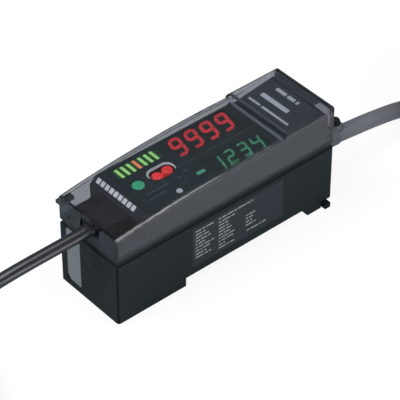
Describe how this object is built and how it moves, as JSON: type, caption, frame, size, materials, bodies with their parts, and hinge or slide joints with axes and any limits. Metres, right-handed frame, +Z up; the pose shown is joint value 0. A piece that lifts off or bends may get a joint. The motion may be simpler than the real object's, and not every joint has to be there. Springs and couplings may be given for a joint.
{
  "type": "laser sensor amplifier",
  "caption": "Slim clip-on amplifier unit with a hinged smoked cover over its displays and keys, a sprung rail latch, a sensor lead and an output cable.",
  "frame": {"origin": "middle of the case's footprint, at the height of its feet", "axes": "+X along the unit towards the output cable, -X towards the sensor lead, -Y the near side, +Z up through the panel and cover"},
  "size_m": [0.3539, 0.0529, 0.038],
  "materials": {
    "case_plastic": "fine matt",
    "frame_plastic": "satin",
    "panel_plastic": "satin",
    "label_film": "satin film",
    "side_film": "satin film",
    "plate_plastic": "matt",
    "smoked_cover": "smoked, clear",
    "latch_plastic": "matt",
    "spring_steel": "bright",
    "green_key": "satin",
    "red_key": "satin",
    "pale_plastic": "satin",
    "green_lamp": "lit",
    "orange_lamp": "lit",
    "display_black": "dark",
    "red_light": "lit",
    "green_light": "lit",
    "circuit_board": "solder resist",
    "switch_metal": "satin",
    "connector_black": "matt",
    "screw_steel": "bright",
    "chip_epoxy": "matt",
    "capacitor_sleeve": "glossy",
    "socket_nylon": "satin",
    "lead_jacket": "satin",
    "cable_jacket": "satin",
    "boot_rubber": "matt",
    "wire_insulation": "satin"
  },
  "bodies": {
    "case": {"lower_case": "case_plastic", "upper_frame": "frame_plastic", "front_panel": "panel_plastic", "label_plate": "label_film", "side_label": "side_film", "end_plate": "plate_plastic", "latch_spring": "spring_steel", "rocker_collar": "pale_plastic", "green_bar_lamps": "green_lamp", "orange_bar_lamp": "orange_lamp", "small_lamp": "green_lamp", "panel_stud": "pale_plastic", "red_display": "display_black", "red_digits": "red_light", "green_display": "display_black", "green_digits": "green_light", "display_board": "circuit_board", "key_switches": "switch_metal", "board_link": "connector_black", "main_board": "circuit_board", "board_screws": "screw_steel", "board_chips": "chip_epoxy", "capacitors": "capacitor_sleeve", "head_socket": "socket_nylon", "head_plug": "connector_black", "sensor_lead": "lead_jacket", "lead_hank": "lead_jacket", "lead_connector": "connector_black", "cable_boot": "boot_rubber", "output_cable": "cable_jacket", "cable_hank": "cable_jacket", "wire_ends": "wire_insulation"},
    "dust_cover": {"dust_cover": "smoked_cover"},
    "rail_latch": {"rail_latch": "latch_plastic"},
    "set_button": {"set_button": "green_key"},
    "rocker_key": {"rocker_key": "red_key"}
  },
  "joints": [
    {"name": "cover_hinge", "type": "hinge", "parent": "case", "child": "dust_cover", "pos_m": [0.0419, 0, 0.0271], "axis": [0, 1, 0], "range_deg": [0, 110]},
    {"name": "latch_slide", "type": "slide", "parent": "case", "child": "rail_latch", "axis": [1, 0, 0], "range_m": [0, 0.002], "stiffness_N_per_m": 1500, "deforming": ["latch_spring"]},
    {"name": "set_press", "type": "slide", "parent": "case", "child": "set_button", "axis": [0, 0, -1], "range_m": [0, 0.0006], "stiffness_N_per_m": 500},
    {"name": "rocker_tilt", "type": "hinge", "parent": "case", "child": "rocker_key", "pos_m": [-0.014, 0.0011, 0.0309], "axis": [0, 1, 0], "range_deg": [-5, 5], "stiffness_Nm_per_rad": 0.02}
  ]
}
